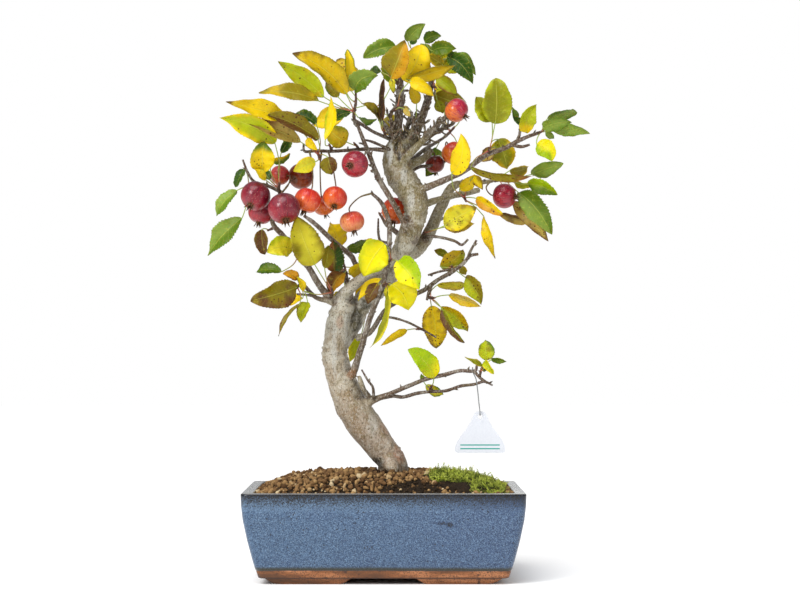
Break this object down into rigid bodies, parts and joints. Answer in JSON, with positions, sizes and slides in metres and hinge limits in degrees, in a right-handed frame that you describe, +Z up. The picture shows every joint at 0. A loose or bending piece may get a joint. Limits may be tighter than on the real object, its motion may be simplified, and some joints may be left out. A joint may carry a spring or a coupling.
{
  "type": "apple bonsai",
  "caption": "Crab apple bonsai with a leaning trunk, autumn leaves and small red and orange fruit, in a rectangular blue-glazed tray on corner feet.",
  "frame": {"origin": "centre of the bounding box at the level of the feet", "axes": "+Z up, -Y towards the front of the tray, +X to the right of someone facing it"},
  "size_m": [0.4114, 0.2086, 0.6011],
  "materials": {
    "glazed_tray": "speckled slate-blue glaze over bare terracotta at the foot",
    "netting": "black moulded netting",
    "soil": "dark damp soil",
    "granules": "tan fired clay grains",
    "moss": "living moss, yellow-green",
    "bark": "grey-brown bark with olive patina",
    "leaf": "thin autumn leaves, yellow to green with brown tips, on green stalks",
    "fruit": "waxy crab apple skin, plum to orange",
    "tag_card": "plain white plastic card",
    "wire": "thin grey wire"
  },
  "bodies": {
    "root": {"pot": "glazed_tray", "drain_mesh_left": "netting", "drain_mesh_right": "netting", "soil": "soil", "granules": "granules", "moss": "moss", "trunk": "bark", "spray_top_left": "leaf", "spray_left_tip": "leaf", "spray_left_strap": "leaf", "spray_left_mid": "leaf", "spray_apple_cluster": "leaf", "spray_far_left": "leaf", "spray_left_branch": "leaf", "spray_fork": "leaf", "spray_left_low": "leaf", "spray_low_left": "leaf", "spray_fork_back": "leaf", "spray_centre_top": "leaf", "spray_centre_low": "leaf", "spray_fork_front": "leaf", "spray_low_twig": "leaf", "spray_low_right": "leaf", "spray_right_mid": "leaf", "spray_trunk_right": "leaf", "spray_second_right": "leaf", "spray_right_back_tip": "leaf", "spray_right_mid_branch": "leaf", "spray_right_upper": "leaf", "spray_right_tip": "leaf", "spray_crown_left": "leaf", "spray_crown_top": "leaf", "spray_crown_front": "leaf", "spray_crown_right": "leaf", "spray_crown_low": "leaf", "spray_crown_mid": "leaf", "spray_crown_dry": "leaf", "spray_low_branch": "leaf", "spray_low_branch_end": "leaf", "spray_back_crown_left": "leaf", "spray_back_crown_right": "leaf", "spray_back_low": "leaf", "spray_back_mid": "leaf", "apple_1": "fruit", "apple_2": "fruit", "apple_3": "fruit", "apple_4": "fruit", "apple_5": "fruit", "apple_6": "fruit", "apple_7": "fruit", "apple_8": "fruit", "apple_9": "fruit", "apple_10": "fruit", "apple_11": "fruit", "apple_12": "fruit", "apple_13": "fruit", "apple_14": "fruit", "apple_15": "fruit", "tag": "tag_card", "tag_wire": "wire"}
  },
  "joints": []
}
